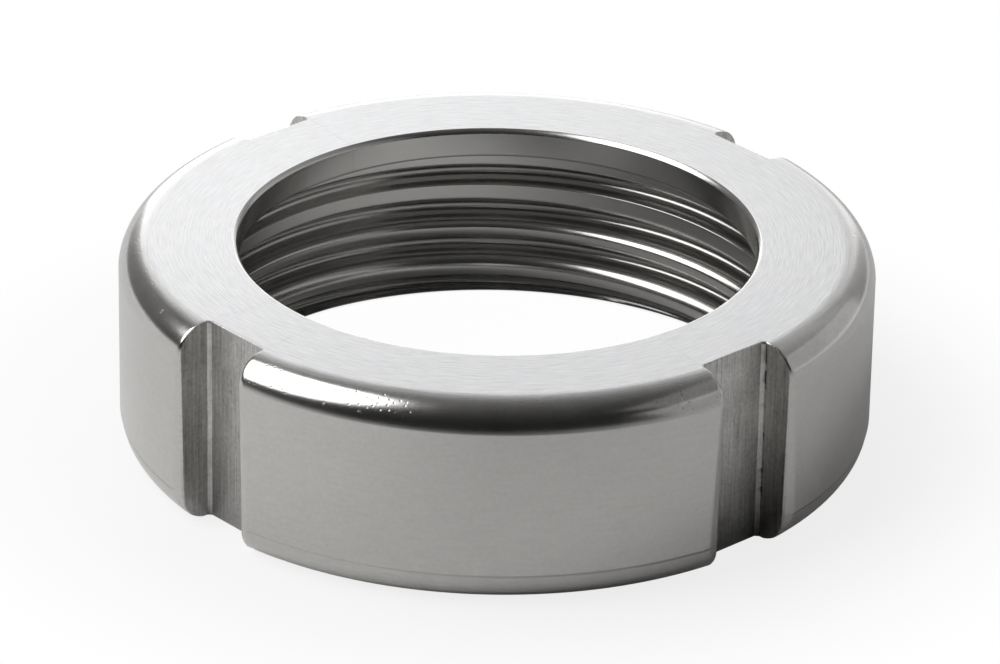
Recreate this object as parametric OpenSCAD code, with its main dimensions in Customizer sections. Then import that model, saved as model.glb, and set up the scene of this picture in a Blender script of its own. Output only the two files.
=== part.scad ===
// Round slotted union nut of a screwed pipe coupling, turned from bar and milled, in one piece.
// The nut stands on its mouth rim at z = 0 with the collar uppermost; its axis is Z.

/* [Body] */
// Diameter of the outer wall, mm
outer_d = 70; // [66:0.5:78]
// Height from the mouth rim to the collar face, mm
body_h = 19.7; // [17:0.1:24]
// Rounding of the outer edge at the collar face, mm
top_round = 3; // [1.5:0.1:4]
// Rounding of the outer edge at the mouth rim, mm
rim_round = 3; // [1.5:0.1:4]

/* [Collar] */
// Bore through the collar, which lets the pipe sleeve through, mm
collar_bore_d = 48; // [44:0.1:50]
// Thickness of the collar, mm
collar_t = 2.8; // [2:0.1:5]
// Chamfer round the collar bore at the collar face, mm
collar_chamfer = 0.43; // [0.2:0.01:1]
// Tool radius in the corner under the collar, mm
shoulder_r = 0.5; // [0.2:0.1:1.2]

/* [Thread] */
// Nominal size of the round thread, mm
thread_d = 58; // [56:0.5:60]
// Pitch of the round thread, six turns to 25.4 mm
thread_pitch = 4.2333; // [3.175:0.0001:6.35]
// Width of the bored flat that is left on each crest, mm
crest_flat = 0.8; // [0.6:0.1:1.4]
// Height of the groove's middle where it first crosses the X axis, mm
thread_start = 0.225; // [0:0.005:1]
// Room between the collar and the groove where the tool leaves the wall, mm
tool_clear = 0.3; // [0.1:0.1:2]
// How far the countersunk mouth clears the thread's root, on the radius, mm
mouth_clear = 0.29; // [0.1:0.01:0.8]
// Slope of the countersunk mouth, measured from the rim's plane, degrees
mouth_slope = 30; // [20:1:60]

/* [Wrench slots] */
// Slots round the wall for a hook wrench
slot_n = 4; // [3:1:6]
// Turn of the first slot from the X axis, degrees
slot_turn = 45; // [0:1:90]
// Width of a slot between its walls at the floor, mm
slot_w = 7.6; // [5:0.1:10]
// Flare of each of a slot's walls from the slot's centre line, degrees
slot_flare = 5; // [0:0.5:12]
// Depth of a slot below the outer wall, on its centre line, mm
slot_depth = 3.6; // [3.2:0.1:4.5]
// Bevel between a slot's wall and its floor, mm
slot_bevel = 0.35; // [0.2:0.05:1]
// Broken edge along the outer corner of a slot's wall, mm
slot_break = 0.3; // [0.2:0.05:0.8]

/* [Hidden] */
outer_r = outer_d / 2;
collar_bore_r = collar_bore_d / 2;
shoulder_z = body_h - collar_t;
// The thread's root and core follow the round thread's own rules from size and pitch
root_r = (thread_d + 0.1 * thread_pitch) / 2;
core_r = root_r - thread_pitch / 2;
mouth_r = root_r + mouth_clear;
mouth_rise = tan(mouth_slope);
// The groove's section is an arc at the root, a flank off the radius and an arc towards the crest
root_arc = 0.221 * thread_pitch;
crest_arc = 0.256 * thread_pitch;
flank_end = 75;
crest_edge = asin(crest_flat / 2 / crest_arc);
crest_cut = crest_arc * (1 - cos(crest_edge));
// The section runs on by this angle past the crest's edge, into the open bore
edge_past = 5;
arc_steps = 3;
// Half the section, from the root's middle outwards, as [place across the groove, depth below the core]
half_groove = concat(
    [for (i = [0 : arc_steps])
        let (a = flank_end * i / arc_steps)
        [root_arc * sin(a), thread_pitch / 2 - root_arc * (1 - cos(a)) - crest_cut]],
    [for (i = [0 : arc_steps])
        let (a = flank_end - (flank_end - crest_edge + edge_past) * i / arc_steps)
        [thread_pitch / 2 - crest_arc * sin(a), crest_arc * (1 - cos(a)) - crest_cut]]
);
groove_edge = half_groove[len(half_groove) - 1].x;
// By turns left to the thread's end: how far the tool has drawn back, and how far its feed lags, in pitches
draw_back = [[0, 0.5], [0.45, 0.19], [1.8, 0]];
feed_lag = [[0.17, 0.3], [0.67, 0]];
// The groove is cut from below the rim up to the collar, in turns from where it first crosses the X axis
first_turn = -0.5;
last_turn = (shoulder_z - tool_clear - groove_edge - thread_start) / thread_pitch + feed_lag[0][1];
helix_steps = 48;
slot_floor = outer_r - slot_depth;
half_w = slot_w / 2;
// A slot's flared wall starts at the bevel and runs out until it meets the outer wall
wall_start = [slot_floor + slot_bevel, half_w];
wall_way = [cos(slot_flare), sin(slot_flare)];
wall_lead = wall_start * wall_way;
wall_reach = sqrt(wall_lead * wall_lead - wall_start * wall_start + outer_r * outer_r) - wall_lead;
slot_lip = wall_start + (wall_reach - slot_break) * wall_way;
// How far a cutting form runs past what it cuts
past = 2;
steel = [0.72, 0.71, 0.69];

// Waste outside a quarter round that is centred on the origin
module corner_waste(r) {
    difference() {
        square(r + past);
        circle(r = r, $fn = 96);
    }
}

// Half section of the blank, with both outer edges rounded
module blank_section() {
    difference() {
        square([outer_r, body_h]);
        translate([outer_r - top_round, body_h - top_round])
            corner_waste(top_round);
        translate([outer_r - rim_round, rim_round])
            mirror([0, 1])
                corner_waste(rim_round);
    }
}

// Half section of the space inside: countersunk mouth, core of the thread, collar bore and chamfer
module bore_section() {
    difference() {
        polygon([
            [0, -past * mouth_rise],
            [mouth_r + past, -past * mouth_rise],
            [core_r, (mouth_r - core_r) * mouth_rise],
            [core_r, shoulder_z],
            [collar_bore_r, shoulder_z],
            [collar_bore_r, body_h - collar_chamfer],
            [collar_bore_r + collar_chamfer + past, body_h + past],
            [0, body_h + past]
        ]);
        translate([core_r - shoulder_r, shoulder_z - shoulder_r])
            corner_waste(shoulder_r);
    }
}

// The thread's groove: its section at each step of the helix, joined to the next by pairs of triangles
module thread_groove() {
    section = concat(
        [[-groove_edge, -past]],
        [for (i = [len(half_groove) - 1 : -1 : 1]) [-half_groove[i].x, half_groove[i].y]],
        half_groove,
        [[groove_edge, -past]]
    );
    n = len(section);
    rings = ceil((last_turn - first_turn) * helix_steps);
    points = [
        for (i = [0 : rings])
            let (
                turn = first_turn + (last_turn - first_turn) * i / rings,
                wall = core_r - thread_pitch * lookup(last_turn - turn, draw_back),
                middle = thread_start + thread_pitch * (turn - lookup(last_turn - turn, feed_lag))
            )
            for (p = section)
                [(wall + p.y) * cos(360 * turn), (wall + p.y) * sin(360 * turn), middle + p.x]
    ];
    triangles = [
        for (i = [0 : rings - 1], k = [0 : n - 1])
            let (here = i * n + k, beside = i * n + (k + 1) % n)
            each [[here, beside, beside + n], [here, beside + n, here + n]]
    ];
    first_end = [for (k = [n - 1 : -1 : 0]) k];
    last_end = [for (k = [0 : n - 1]) rings * n + k];
    polyhedron(points, concat([first_end], triangles, [last_end]));
}

// One slot, milled straight through from the rim to the collar face
module wrench_slot() {
    translate([0, 0, -past])
        linear_extrude(body_h + 2 * past)
            polygon([
                [slot_floor, slot_bevel - half_w],
                [slot_floor, half_w - slot_bevel],
                [wall_start.x, wall_start.y],
                [slot_lip.x, slot_lip.y],
                [slot_lip.x + slot_break + past, slot_lip.y + slot_break + past],
                [slot_lip.x + slot_break + past, -slot_lip.y - slot_break - past],
                [slot_lip.x, -slot_lip.y],
                [wall_start.x, -wall_start.y]
            ]);
}

module union_nut() {
    color(steel)
        difference() {
            rotate_extrude($fn = 180)
                difference() {
                    blank_section();
                    bore_section();
                }
            for (i = [0 : slot_n - 1])
                rotate(slot_turn + i * 360 / slot_n)
                    wrench_slot();
            thread_groove();
        }
}

union_nut();
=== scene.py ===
import bmesh
import bpy
import numpy as np
from mathutils import Matrix, Quaternion, Vector


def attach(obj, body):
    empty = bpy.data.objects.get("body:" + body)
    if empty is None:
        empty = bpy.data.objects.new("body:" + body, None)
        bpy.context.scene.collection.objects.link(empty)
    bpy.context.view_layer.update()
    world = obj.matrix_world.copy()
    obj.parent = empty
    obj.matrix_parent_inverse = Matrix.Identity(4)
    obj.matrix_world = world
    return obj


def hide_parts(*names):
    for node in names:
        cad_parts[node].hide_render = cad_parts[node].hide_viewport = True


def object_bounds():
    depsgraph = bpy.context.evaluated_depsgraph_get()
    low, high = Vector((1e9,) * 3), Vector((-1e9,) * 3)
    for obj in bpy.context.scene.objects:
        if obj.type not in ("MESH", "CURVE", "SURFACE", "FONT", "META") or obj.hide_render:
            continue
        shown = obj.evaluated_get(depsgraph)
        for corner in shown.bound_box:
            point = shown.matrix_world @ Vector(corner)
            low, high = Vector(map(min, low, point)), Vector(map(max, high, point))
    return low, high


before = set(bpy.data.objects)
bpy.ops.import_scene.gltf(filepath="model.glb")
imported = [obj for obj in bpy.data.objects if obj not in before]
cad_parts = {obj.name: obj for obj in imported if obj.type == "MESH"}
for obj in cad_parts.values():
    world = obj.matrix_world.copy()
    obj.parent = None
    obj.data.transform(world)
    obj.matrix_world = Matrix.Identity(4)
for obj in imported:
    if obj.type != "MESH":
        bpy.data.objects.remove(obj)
cad_box = [[float(v) for v in corner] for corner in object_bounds()]

# The wall: a ring of stainless steel, turned from bar with both outer edges rounded, then milled with
# four slots for a hook wrench. The top rounding meets the wall in a faint crease, the bottom one in a low
# step. Radius and height come from the frame, and sizes are in millimetres until the mesh is written.
outer_r, body_h = (round(1000 * v, 3) for v in (cad_box[1][0], cad_box[1][2]))
edge_round = 3.0
edge_break = 0.1
crease = np.radians(8)
low_step = 0.08
slot_floor = 31.4
slot_half = 3.8
slot_bevel = 0.3
slot_ease = 0.12
slot_flare = np.exp(1j * np.radians(5))
slot_turn = np.exp(1j * np.radians(45))
corner_pull = 0.06


def slotted_outlines(radius, widen, inside, outside):
    """Closed outlines of the slotted wall, one row of complex numbers per level. Half a slot's path runs
    along the floor, up the 45 degree bevel and out along the slot's flared wall until it leaves the
    circle of the level's radius. That corner is cut back along the slot's wall and along the circle and
    bridged by a nearly straight quadratic curve, and the circle goes on to the middle of the block.
    Mirrored about that middle and turned in quarter turns, the piece makes the whole ring. Returned with
    it are each point's share in the slot and the dirt in the slot's corners."""
    radius, widen, inside, outside = (a[:, None] for a in (radius, widen, inside, outside))
    floor_x = slot_floor - widen
    floor_end = slot_half + widen - slot_bevel
    bevel_end = floor_end + slot_bevel * np.sqrt(2)

    def path(s):
        """The point at a length along the slot's half path, counted from the middle of its floor."""
        rise = np.clip(s - floor_end, 0, slot_bevel * np.sqrt(2)) / np.sqrt(2)
        up_wall = np.maximum(s - bevel_end, 0) * slot_flare
        return floor_x + rise + 1j * (np.minimum(s, floor_end) + rise) + up_wall

    foot = path(bevel_end)
    lead = (foot * np.conj(slot_flare)).real
    lip = np.sqrt(lead**2 - abs(foot) ** 2 + radius**2) - lead
    climb = (np.sqrt(2 * radius**2 - (floor_x - floor_end) ** 2) - floor_x - floor_end) / 2
    leave = np.where(lip > 0, bevel_end + lip, floor_end + climb * np.sqrt(2))
    stop = leave - inside
    along = np.concatenate([
        floor_end * np.array([0, 0.3, 0.6, 0.9, 0.985]),
        floor_end + (bevel_end - floor_end) * np.array([0, 0.07, 0.93, 1]),
        bevel_end + (stop - bevel_end) * np.array([0.03, 0.06, 0.1, 0.3, 0.6, 0.9, 0.985, 1]),
    ], axis=1)
    inner = path(np.minimum(along, stop))
    corner, begin = path(leave), path(stop)
    turn = np.angle(corner) + outside / radius
    end = radius * np.exp(1j * turn)
    pull = corner_pull * corner + (1 - corner_pull) / 2 * (begin + end)
    t = np.array([0.12, 0.3, 0.5, 0.7, 0.88, 1])
    bridge = (1 - t) ** 2 * begin + 2 * t * (1 - t) * pull + t**2 * end
    share = np.concatenate([[0.012], np.linspace(0.05, 1, 20)])
    block = radius * np.exp(1j * (turn + (np.pi / 4 - turn) * share))
    half = np.concatenate([inner, bridge, block], axis=1)
    sector = np.concatenate([half[:, :-1], (1j * np.conj(half))[:, :0:-1]], axis=1)
    ring = np.concatenate([sector * 1j**k for k in range(4)], axis=1) * slot_turn

    # The milled finish runs out over the first quarter of the bridge, and dirt lies on the four points of
    # the bevel and the first two of the slot's wall
    slot_part, dirt_and_shade = np.zeros((2, half.shape[1]))
    slot_part[:inner.shape[1]] = 1
    slot_part[inner.shape[1]:inner.shape[1] + t.size] = np.maximum(1 - 4 * t, 0)
    dirt_and_shade[5:11] = 0.3, 0.1, 0.6, 1.0, 1.0, 0.5
    slot_part, dirt_and_shade = (np.tile(np.concatenate([a[:-1], a[:0:-1]]), 4) for a in (slot_part, dirt_and_shade))
    return ring, slot_part, dirt_and_shade


# Levels run down the top rounding, the wall and the bottom rounding, closer at the crease and the step
top_arc = np.append(np.linspace(np.pi / 2, crease + 0.02, 18), [crease + 0.006, crease])
top_round = edge_round / np.cos(crease)
top_r = outer_r - edge_round + top_round * np.cos(top_arc)
top_z = body_h - top_round * (1 - np.sin(top_arc))
under_arc = np.radians(np.linspace(0, 90, 19))
under_r = outer_r - edge_round * (1 - np.cos(under_arc)) - low_step * np.cos(under_arc)
under_z = edge_round * (1 - np.sin(under_arc))
fall = np.array([0.012, 0.1, 0.25, 0.4, 0.55, 0.7, 0.85, 0.988, 0.996])
wall_z = top_z[-1] - (top_z[-1] - edge_round) * fall
level_r = np.concatenate([top_r, np.full(wall_z.size, outer_r), under_r])
level_z = np.concatenate([top_z, wall_z, under_z])
# The slots are eased at both ends, and the blocks' upright edges are broken more towards the bottom
near_end = np.minimum(np.minimum(level_z, body_h - level_z), slot_ease)
widen = slot_ease - np.sqrt(slot_ease**2 - (slot_ease - near_end) ** 2)
on_wall = ((level_r - outer_r + edge_round) / edge_round) ** 6
lowness = 1 - level_z / body_h
inside = edge_break + (0.05 + 0.36 * lowness) * on_wall
outside = edge_break + (0.2 + 1.1 * lowness) * on_wall
outline, slot_part, slot_dirt = slotted_outlines(level_r, widen, inside, outside)
spoke = np.exp(1j * np.angle(outline[0]))
columns = spoke.size

# The thread: a right-hand round thread, 58 mm by six turns to 25.4 mm, cut in the bore from the
# countersunk mouth below up to the collar, where the tool is drawn back out of the wall.
thread_d = 58.0
thread_pitch = 25.4 / 6
root_r = (thread_d + 0.1 * thread_pitch) / 2
core_r = root_r - thread_pitch / 2
root_arc = 0.221 * thread_pitch
crest_arc = 0.256 * thread_pitch
blunt_arc = 0.31 * thread_pitch
flank_end = 75
thread_start = 0.225
thread_top = 16.2
draw_turns = [1.9, 2.3, 3.2, 3.4, 3.8]
draw_back = [0, 0.14, 0.72, 1.0, thread_pitch / 2]
lag_turns = [2.05, 2.25, 2.6, 3.08, 3.58]
feed_lag = [0, 0.35, 0.3, 0, 0.3 * thread_pitch]
crests_end, crests_fade = 2.6, 0.9
mouth_clear = 0.29
mouth_r = root_r + mouth_clear
mouth_rise = np.tan(np.radians(30))
mouth_blend = 0.003


def round_thread(turns_angle):
    """The thread as a grid of rows along the helix and columns round it, returned as radius and height.
    Each side of the groove follows the round thread's section by its length: an arc at the root, a flank
    15 degrees off the radius and an arc at the crest, blunter on the groove's lower side while the crests
    are full. Height is the helix's rise plus the place across the groove. Towards the collar the tool
    draws back, so the section sinks below the core and the crests are left flat and wide, and its feed
    runs unevenly, so the last turns lag behind the helix. The mouth's cone is blended over it, as
    (a + b + sqrt((a - b)^2 + blend)) / 2 of the two radii a and b."""
    turn = np.arange(-1, 6)[:, None, None] + turns_angle[None, None, :] / (2 * np.pi)
    drawn = np.interp(turn, draw_turns, draw_back)
    full = np.clip((crests_end - turn) / crests_fade, 0, 1)
    centre = thread_start + thread_pitch * turn - np.interp(turn, lag_turns, feed_lag)

    def groove_side(share, at_crest):
        """Place across the groove and depth below the core at shares of the way from root to crest."""
        at_root = root_arc + crest_arc - at_crest
        a = np.radians(np.linspace(0, flank_end, 40))
        b = a[::-1]
        across = np.concatenate([at_root * np.sin(a), thread_pitch / 2 - at_crest * np.sin(b)])
        deep = np.concatenate([thread_pitch / 2 - at_root * (1 - np.cos(a)), at_crest * (1 - np.cos(b))])
        run = np.concatenate([[0], np.cumsum(np.hypot(np.diff(across), np.diff(deep)))])
        reach = share[None, :, None] * np.interp(drawn, deep[::-1], run[::-1])
        return np.interp(reach, run, across), np.maximum(np.interp(reach, run, deep) - drawn, 0)

    share = np.linspace(0, 1, 16)
    blunt, keen = (groove_side(share[:0:-1], arc) for arc in (blunt_arc, crest_arc))
    lower, lower_deep = (a * full + b * (1 - full) for a, b in zip(blunt, keen))
    upper, upper_deep = groove_side(share, crest_arc)
    height = np.concatenate([centre - lower, centre + upper], axis=1)
    deep = np.concatenate([lower_deep, upper_deep], axis=1)
    crest = height[:-1, -1:] + (height[1:, :1] - height[:-1, -1:]) * np.array([0.06, 0.94])[None, :, None]
    height = np.concatenate([height[:-1], crest], axis=1)
    radius = core_r + np.concatenate([deep[:-1], np.zeros_like(crest)], axis=1)
    height = np.clip(height.reshape(-1, turns_angle.size), 0, thread_top)
    radius = radius.reshape(-1, turns_angle.size)
    cone = mouth_r - height / mouth_rise
    radius = 0.5 * (radius + cone + np.sqrt((radius - cone) ** 2 + mouth_blend))
    radius = np.where(height <= 0, mouth_r, np.where(height >= thread_top, core_r, radius))
    return radius, height


angle = np.unwrap(np.angle(spoke))
angle = np.append(angle, angle[0] + 2 * np.pi)
thread_r, thread_z = round_thread(angle)
thread_p = thread_r * np.exp(1j * angle)

# The collar: left standing at the top to pull on the pipe sleeve, with a flat shoulder below, a bore that
# lets the sleeve's neck through and a chamfer that is turned slightly convex.
collar_bore_r = 24.0
collar_chamfer = 0.39
chamfer_middle = 0.41 * collar_chamfer
shoulder_z = 16.9
face_start_r = 25.0
corner_eases = [0.45, 0.2, 0.05, 0.13, 0.05]
curve_points = 6
corner_points = curve_points + 2


def eased_section(corners, eases):
    """A section line through corners given as radius + height * 1j. Each inner corner becomes a quadratic
    curve that starts and ends at its ease from the corner, with one more point just outside each end."""
    corners, eases = np.asarray(corners), np.asarray(eases)[:, None]
    middle = corners[1:-1, None]
    back = (corners[:-2, None] - middle) / abs(corners[:-2, None] - middle)
    on = (corners[2:, None] - middle) / abs(corners[2:, None] - middle)
    t = np.linspace(0, 1, curve_points)
    curves = middle + eases * (back * (1 - t) ** 2 + on * t**2)
    curves = np.concatenate([middle + 1.35 * eases * back, curves, middle + 1.35 * eases * on], axis=1)
    return np.concatenate([corners[:1], curves.ravel(), corners[-1:]])


collar = eased_section(
    [core_r + thread_top * 1j, core_r + shoulder_z * 1j, collar_bore_r + shoulder_z * 1j,
     collar_bore_r + (body_h - collar_chamfer) * 1j,
     collar_bore_r + chamfer_middle + (body_h - chamfer_middle) * 1j,
     collar_bore_r + collar_chamfer + body_h * 1j, face_start_r + body_h * 1j],
    corner_eases)

# The nut's one mesh: rows run from the thread's top over the collar, its face and the wall to the rim and
# the mouth, and the thread's own grid closes the inside.
face_share = np.array([0.15, 0.35, 0.55, 0.75, 0.9, 0.985])[:, None]
top_face = (1 - face_share) * face_start_r * spoke + face_share * outline[0]
rim_face = face_share[::-1] * outline[-1] + (1 - face_share[::-1]) * mouth_r * spoke
places = np.concatenate([collar.real[:, None] * spoke, top_face, outline, rim_face, mouth_r * spoke[None]])
face_steps = face_share.size
heights = np.concatenate([collar.imag, np.full(face_steps, body_h), level_z, np.zeros(face_steps + 1)])
place_z = np.broadcast_to(heights[:, None], places.shape)
points = np.concatenate([
    np.stack([places.real, places.imag, place_z], axis=-1).reshape(-1, 3),
    np.stack([thread_p.real, thread_p.imag, thread_z], axis=-1).reshape(-1, 3)])
body_rows = np.arange(places.shape[0] - 1)[:, None] * columns
body_cols, next_cols = np.arange(columns), np.roll(np.arange(columns), -1)
body_quads = np.stack([body_rows + body_cols, body_rows + next_cols, body_rows + columns + next_cols,
                       body_rows + columns + body_cols], axis=-1).reshape(-1, 4)
wide = columns + 1
thread_corner = np.arange(thread_z.shape[0] - 1)[:, None] * wide + np.arange(columns)
thread_quads = np.stack([thread_corner, thread_corner + wide, thread_corner + wide + 1, thread_corner + 1],
                        axis=-1).reshape(-1, 4) + places.size

# What each point's finish is: faced end, milled slot, bored inside, polished rounding. The facing runs
# out over the start of the top rounding, between these angles in degrees.
facing_full, facing_end = 88, 68
polish_fade = 0.3
face_row = collar.size - 2
first_level = collar.size + face_steps
last_level = first_level + level_z.size
ended = np.zeros(level_z.size)
ended[:top_arc.size] = np.clip((np.degrees(top_arc) - facing_end) / (facing_full - facing_end), 0, 1)
rounded = np.clip((outer_r - level_r) / polish_fade, 0, 1) * (1 - ended)
finish = np.zeros((places.shape[0], columns, 4))
finish[face_row:first_level, :, 0] = 1
finish[last_level:, :, 0] = 1
finish[:face_row, :, 2] = 1
finish[first_level:last_level, :, 0] = ended[:, None] * (1 - slot_part)
finish[first_level:last_level, :, 1] = slot_part
finish[first_level:last_level, :, 3] = rounded[:, None] * (1 - slot_part)
thread_finish = np.zeros((thread_z.size, 4))
thread_finish[:, 2] = 1
finish = np.concatenate([finish.reshape(-1, 4), thread_finish])

# Dirt and painted shade: spots of dirt, in the slots on the right, are positive, and painted shade is
# negative.
# Painted shade darkens the collar's lower edge, which is the curve of its second corner, the thread's
# grooves by their depth, and the mouth.
edge_painted_shade = 0.4
groove_painted_shade, groove_depth, groove_from = 0.25, 1.5, 3
mouth_painted_shade, mouth_top, mouth_fade = 0.62, 1.9, 0.6
edge_row = 1 + corner_points + 1
dirt_and_shade = np.zeros(points.shape[0])
dirt_and_shade[first_level * columns:last_level * columns] = np.tile(slot_dirt * (spoke.real > 0), level_z.size)
dirt_and_shade[edge_row * columns:(edge_row + curve_points) * columns] = -edge_painted_shade
groove_shading = groove_painted_shade * np.clip((thread_r - core_r) / groove_depth, 0, 1) * (thread_z > groove_from)
mouth_shading = mouth_painted_shade * np.clip((mouth_top - thread_z) / mouth_fade, 0, 1)
dirt_and_shade[places.size:] = -np.maximum(groove_shading, mouth_shading).ravel()

mesh = bpy.data.meshes.new("union_nut_steel")
mesh.from_pydata((points * 0.001).tolist(), [], np.concatenate([body_quads, thread_quads]).tolist())
finish_data = mesh.attributes.new("finish", "FLOAT_COLOR", "POINT").data
finish_data.foreach_set("color", finish.ravel().astype(np.float32))
dirt_and_shade_data = mesh.attributes.new("dirt_and_shade", "FLOAT", "POINT").data
dirt_and_shade_data.foreach_set("value", dirt_and_shade.astype(np.float32))
work = bmesh.new()
work.from_mesh(mesh)
bmesh.ops.remove_doubles(work, verts=work.verts, dist=1e-6)
bmesh.ops.dissolve_degenerate(work, edges=work.edges, dist=1e-7)
bmesh.ops.recalc_face_normals(work, faces=work.faces)
work.to_mesh(mesh)
work.free()
mesh.shade_smooth()
nut = bpy.data.objects.new("union_nut_body", mesh)
bpy.context.collection.objects.link(nut)
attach(nut, "root")
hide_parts("union_nut")


# The steel: bare stainless, with rings on the faced ends, upright passes in the slots and fine rounds in
# the bore. The wall and the roundings have a grain with faint turning marks, and the roundings, which are
# polished, have small pits in worn patches.
class Wire:
    """A shader socket that can be used in arithmetic: each operator adds the Math node it needs."""

    def __init__(self, tree, socket=None):
        self.tree, self.socket = tree, socket

    def node(self, kind, settings, sockets, out=0):
        """Adds a node of a type, makes its settings, sets or links its sockets and gives one output."""
        made = self.tree.nodes.new(kind)
        for name, value in settings.items():
            setattr(made, name, value)
        for name, value in sockets.items():
            if isinstance(value, Wire):
                self.tree.links.new(value.socket, made.inputs[name])
            else:
                made.inputs[name].default_value = value
        return Wire(self.tree, made.outputs[out]) if made.outputs else None

    def beside(self, out):
        """Another output of the same node."""
        return Wire(self.tree, self.socket.node.outputs[out])

    def maths(self, operation, *values):
        """A Math node on values or wires."""
        return self.node("ShaderNodeMath", {"operation": operation}, dict(enumerate(values)))

    def __add__(self, other):
        return self.maths("ADD", self, other)

    def __sub__(self, other):
        return self.maths("SUBTRACT", self, other)

    def __rsub__(self, other):
        return self.maths("SUBTRACT", other, self)

    def __mul__(self, other):
        return self.maths("MULTIPLY", self, other)

    __radd__, __rmul__ = __add__, __mul__


def new_nodes(owner):
    """Clears the node tree of a material or world and gives a wire to start from."""
    owner.use_nodes = True
    owner.node_tree.nodes.clear()
    return Wire(owner.node_tree)


def eased_range(value, start, end, low, high):
    """A value carried smoothly from low to high between start and end."""
    return value.node("ShaderNodeMapRange", {"interpolation_type": "SMOOTHSTEP"},
                      {"Value": value, "From Min": start, "From Max": end, "To Min": low, "To Max": high})


def noise(place, scale, detail, roughness=0.5):
    """Noise in space, with its scale in features per metre."""
    return place.node("ShaderNodeTexNoise", {},
                      {"Vector": place, "Scale": scale, "Detail": detail, "Roughness": roughness})


def streaks(across, along, detail=4.0):
    """Noise about zero, drawn out in one direction: fast across the marks and slow along them."""
    spread = across.node("ShaderNodeCombineXYZ", {}, {0: across, 1: along})
    return across.node("ShaderNodeTexNoise", {"noise_dimensions": "2D"},
                       {"Vector": spread, "Scale": 1.0, "Detail": detail}) - 0.5


steel = bpy.data.materials.new("stainless_steel")
wire = new_nodes(steel)
place = wire.node("ShaderNodeTexCoord", {}, {}, "Object")
x = wire.node("ShaderNodeSeparateXYZ", {}, {0: place})
y, z = x.beside(1), x.beside(2)
radius = wire.maths("SQRT", x * x + y * y)
bearing = wire.maths("ARCTAN2", y, x)
zones = wire.node("ShaderNodeAttribute", {"attribute_name": "finish"}, {}, "Color")
faced = wire.node("ShaderNodeSeparateColor", {}, {0: zones})
milled, bored, polished = faced.beside(1), faced.beside(2), zones.beside("Alpha")
plain = (1 - faced) * (1 - milled) * (1 - bored) * (1 - polished)
skin = plain + polished

rings = streaks(across=radius * 6500.0, along=bearing * 11.0)
passes = streaks(across=(x * x + y * y) * 60000.0 + bearing * 260.0, along=z * 130.0)
rounds = streaks(across=radius * 2600.0 + z * 2600.0, along=bearing * 1.2)
turned = streaks(across=radius * 3000.0 + z * 3000.0, along=bearing * 12.0, detail=1.0)
grain = noise(place, 2700.0, 1.0) - 0.5
mottle = noise(place, 420.0, 5.0, 0.6) - 0.5
cell = wire.node("ShaderNodeTexVoronoi", {}, {"Vector": place, "Scale": 2000.0})
worn = eased_range(noise(place, 150.0, 1.0), 0.48, 0.6, 0.0, 1.0)
pits = eased_range(cell, 0.05, 0.26, -1.0, 0.0) * worn * polished
cuts = rings * faced * 2.2 + passes * milled * 3.5 + rounds * bored * 0.3
marks = cuts + rings * faced * 2.3 + (grain * 0.9 + turned * 0.45) * skin
marks = marks + (grain * 3.0 + passes * 2.5) * milled

rough = 0.42 * faced + 0.26 * plain + 0.18 * polished + 0.34 * milled + 0.21 * bored
rough = rough + cuts * 0.08 + mottle * 0.06
# Painted sheen: the faced ends are a little lighter at the sides than at the front and back
painted_side_sheen = wire.maths("COSINE", bearing * 2.0)
tone = 0.6 + (0.06 + painted_side_sheen * 0.03) * faced - 0.04 * milled
tone = tone + marks * 0.1 + mottle * (0.05 + milled * 0.35 + polished * 0.1)

# Dirt and painted shade darken the tone: spots of dirt, painted shade on the collar's lower edge, the
# grooves and the mouth, and painted shade that darkens the slots towards the bottom, most of all on the
# right
dirt_and_shade = wire.node("ShaderNodeAttribute", {"attribute_name": "dirt_and_shade"}, {}, "Fac")
spots = eased_range(noise(place, 640.0, 1.0), 0.54, 0.59, 0.0, 1.0)
grime = wire.maths("MAXIMUM", dirt_and_shade, 0.0) * (0.1 + spots * 0.75)
# Painted shade: the negative part darkens the collar's lower edge, the thread's grooves and the mouth
painted_shade = wire.maths("MINIMUM", dirt_and_shade, 0.0)
# Painted shade: the milled slots darken towards the bottom, most of all on the right
painted_low_shade = eased_range(z, 0.013, 0.0, 0.0, 1.0) * eased_range(x, -0.02, 0.02, 0.65, 1.0)
tone = tone * (1 - grime) * (1 + painted_shade) * (1 - milled * painted_low_shade * (0.45 + mottle)) * (1 + pits * 0.25)

warm_steel = (1.0, 0.985, 0.955, 1)
cool_steel = (0.985, 0.99, 1.0, 1)
tint = wire.node("ShaderNodeMix", {"data_type": "RGBA"}, {0: faced, 6: warm_steel, 7: cool_steel}, 2)
colour = wire.node("ShaderNodeMix", {"data_type": "RGBA", "blend_type": "MULTIPLY"},
                   {0: 1.0, 6: tint, 7: tone}, 2)
relief = cuts + (grain * 0.12 + mottle * 0.3) * skin + grain * polished * 0.25 + pits * 3.0
bump = wire.node("ShaderNodeBump", {}, {"Strength": 0.2, "Distance": 0.00003, "Height": relief})
shader = wire.node("ShaderNodeBsdfPrincipled", {},
                   {"Base Color": colour, "Metallic": 1.0, "Roughness": rough, "Normal": bump})
wire.node("ShaderNodeOutputMaterial", {}, {"Surface": shader})
mesh.materials.append(steel)

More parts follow.
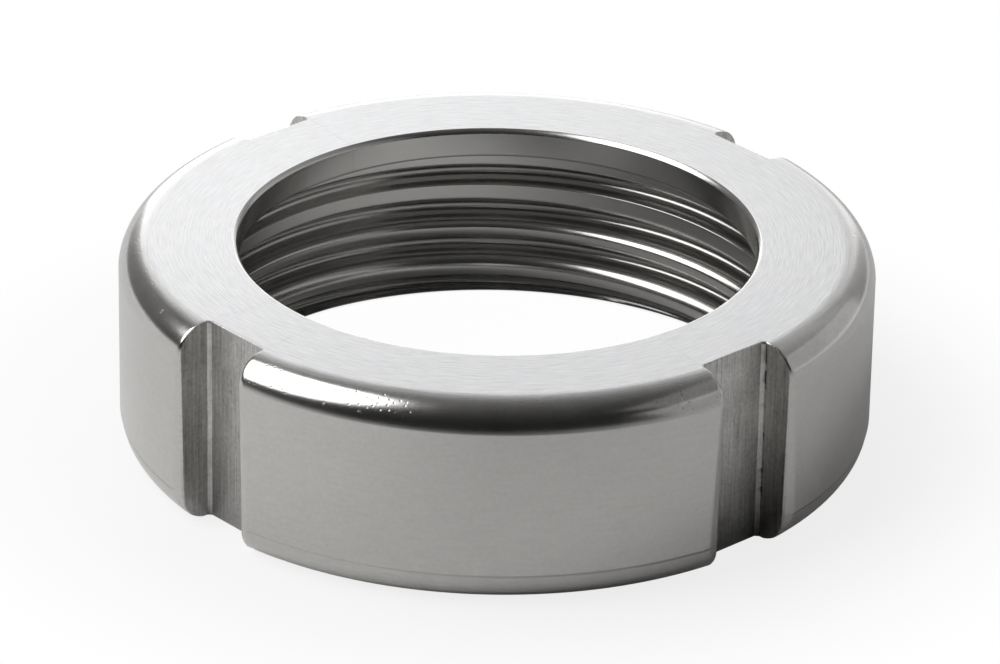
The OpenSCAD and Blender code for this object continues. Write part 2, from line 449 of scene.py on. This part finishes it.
# The floor: a plain sheet that the camera sees as white, with a faint shadow round the nut. The nut mirrors
# its white far behind, and glowing patches near at the left, in front at the right and weakly through the
# bore are painted reflections. The sheet's colour holds painted shade: it darkens towards the front, a
# little to the right and inside the bore, most of all on its left. Places on it are in metres.
floor_half = 9.0
floor_z = -2e-5
floor_corners = [(floor_half * i, floor_half * j, floor_z) for i, j in ((-1, -1), (1, -1), (1, 1), (-1, 1))]
floor_mesh = bpy.data.meshes.new("floor_sheet")
floor_mesh.from_pydata(floor_corners, [], [(0, 1, 2, 3)])
floor = bpy.data.objects.new("floor", floor_mesh)
bpy.context.collection.objects.link(floor)
sheet = bpy.data.materials.new("pale_sheet")
wire = new_nodes(sheet)
x = wire.node("ShaderNodeSeparateXYZ", {}, {0: wire.node("ShaderNodeTexCoord", {}, {}, "Object")})
y = x.beside(1)
radius = wire.maths("SQRT", x * x + y * y)
in_bore = eased_range(radius, 0.029, 0.031, 1.0, 0.0)
white_seen = wire.maths("MAXIMUM", eased_range(radius, 0.034, 0.06, 0.82, 1.0), in_bore * 0.985)
far_behind = eased_range(radius, 0.15, 0.6, 0.0, 0.9) * eased_range(y, -0.1, 0.3, 0.0, 1.0)
# Painted reflections: glowing patches that only reflections see, near at the left, in front at the right
# and in the bore
painted_glow_left = eased_range(x, 0.005, -0.04, 0.0, 0.22) * eased_range(radius, 0.1, 0.25, 1.0, 0.0)
painted_glow_front_right = eased_range(x, 0.06, 0.25, 0.0, 0.3) * eased_range(y, -0.02, -0.12, 0.0, 1.0)
painted_glow_in_bore = in_bore * eased_range(y, -0.021, -0.01, 0.0, 0.14) * eased_range(y, -0.006, 0.004, 1.0, 0.0)
white_mirrored = far_behind + painted_glow_left + painted_glow_front_right + painted_glow_in_bore
# Painted shade in the floor's colour: darker towards the front, a little to the right, and inside the bore,
# most of all on its left
shade = eased_range(y, -0.03, -0.25, 0.86, 0.008) * eased_range(x, 0.0, 0.05, 1.0, 0.93)
shade = shade * (1 - in_bore * eased_range(x, 0.006, -0.018, 0.12, 0.88))
camera_ray = wire.node("ShaderNodeLightPath", {}, {}, "Is Camera Ray")
glossy_ray, clear_ray = camera_ray.beside("Is Glossy Ray"), camera_ray.beside("Is Transmission Ray")
glowing = camera_ray * white_seen + wire.maths("MAXIMUM", glossy_ray, clear_ray) * white_mirrored
matt = wire.node("ShaderNodeBsdfDiffuse", {}, {"Color": shade})
glow = wire.node("ShaderNodeEmission", {}, {"Color": (1, 1, 1, 1), "Strength": 1.0})
lit = wire.node("ShaderNodeMixShader", {}, {0: glowing, 1: matt, 2: glow})
wire.node("ShaderNodeOutputMaterial", {}, {"Surface": lit})
floor_mesh.materials.append(sheet)

# The lamps: a large round one high at the left, a pale card low at the right with a weaker fill above it,
# and a lit strip low behind with a weaker panel to its right.
nut_middle = Vector((0, 0, 0.01))


def soft_lamp(name, shape, bearing, rise, far, width, height, radiance, roll=0):
    """A soft lamp that faces the nut from a bearing and a rise, rolled about its own axis, all in
    degrees, with its distance and sizes in metres. Its power is its radiance times its area times pi."""
    data = bpy.data.lights.new(name, "AREA")
    data.shape, data.size, data.size_y = shape, width, height
    data.energy = radiance * np.pi * width * height * (np.pi / 4 if shape == "ELLIPSE" else 1)
    turn, rise = np.radians([bearing, rise])
    way = Vector((np.cos(turn) * np.cos(rise), np.sin(turn) * np.cos(rise), np.sin(rise)))
    rolled = Quaternion((0, 0, 1), np.radians(roll))
    lamp = bpy.data.objects.new(name, data)
    lamp.location = far * way + nut_middle
    lamp.rotation_euler = ((-way).to_track_quat("-Z", "Y") @ rolled).to_euler()
    lamp.visible_camera = False
    bpy.context.collection.objects.link(lamp)


soft_lamp("left_lamp", "ELLIPSE", bearing=187.6, rise=46, far=0.8, width=0.89, height=0.81,
          radiance=3.0, roll=-42)
soft_lamp("right_card", "RECTANGLE", bearing=4, rise=17, far=0.9, width=1.7, height=0.6, radiance=0.37)
soft_lamp("right_fill", "RECTANGLE", bearing=12, rise=46, far=0.9, width=1.4, height=0.42, radiance=0.19)
soft_lamp("back_strip", "RECTANGLE", bearing=100, rise=14, far=0.5, width=0.24, height=0.27, radiance=1.55)
soft_lamp("back_panel", "RECTANGLE", bearing=77.5, rise=12, far=0.5, width=0.16, height=0.21, radiance=0.42)

# The room: bright low at the back and fading to dark behind the camera, dimmer at the far left and
# towards the right.
fade_angle = 0.6
dimmest = 0.001
turn, rise = np.radians([91, 8])
bright = (np.cos(turn) * np.cos(rise), np.sin(turn) * np.cos(rise), np.sin(rise))
world = bpy.data.worlds.new("studio")
bpy.context.scene.world = world
wire = new_nodes(world)
way = wire.node("ShaderNodeTexCoord", {}, {}, "Generated")
nearness = wire.node("ShaderNodeVectorMath", {"operation": "DOT_PRODUCT"}, {0: way, 1: bright}, "Value")
aside = wire.maths("ARCCOSINE", nearness)
rightward = wire.node("ShaderNodeSeparateXYZ", {}, {0: way})
fading = wire.maths("EXPONENT", aside * (-1 / fade_angle)) * eased_range(rightward, -0.52, -0.36, 0.5, 1.0)
fading = fading * eased_range(rightward, 0.32, 0.37, 1.3, 1.0) * eased_range(rightward, 0.4, 0.7, 1.0, 0.75)
room = wire.node("ShaderNodeBackground", {}, {"Color": fading + dimmest})
wire.node("ShaderNodeOutputWorld", {}, {"Surface": room})

# The camera: a long lens from the front, a little above the nut and turned slightly, as the photograph
# was taken. Its focal length is given in widths of the sensor.
rise, roll, swing = np.radians([26.271, 1.068, 2.5])
far = 0.595
aim = np.array([0.000374, 0, 0.009976])
sensor = 36.0
focal_share = 6.3953
back = np.array([0, -np.cos(rise), np.sin(rise)])
right = np.array([1.0, 0, 0])
over = np.cross(back, right)
right, over = np.cos(roll) * right + np.sin(roll) * over, np.cos(roll) * over - np.sin(roll) * right
swung = np.array([[np.cos(swing), -np.sin(swing), 0], [np.sin(swing), np.cos(swing), 0], [0, 0, 1]])
pose = np.eye(4)
pose[:3] = swung @ np.column_stack([right, over, back, aim + far * back])
view = bpy.data.cameras.new("photo_view")
view.sensor_width = sensor
view.lens = sensor * focal_share
view.clip_start, view.clip_end = 0.01, 50
camera = bpy.data.objects.new("photo_view", view)
camera.matrix_world = Matrix(pose.tolist())
bpy.context.collection.objects.link(camera)
bpy.context.scene.camera = camera
bpy.context.scene.view_settings.view_transform = "Standard"
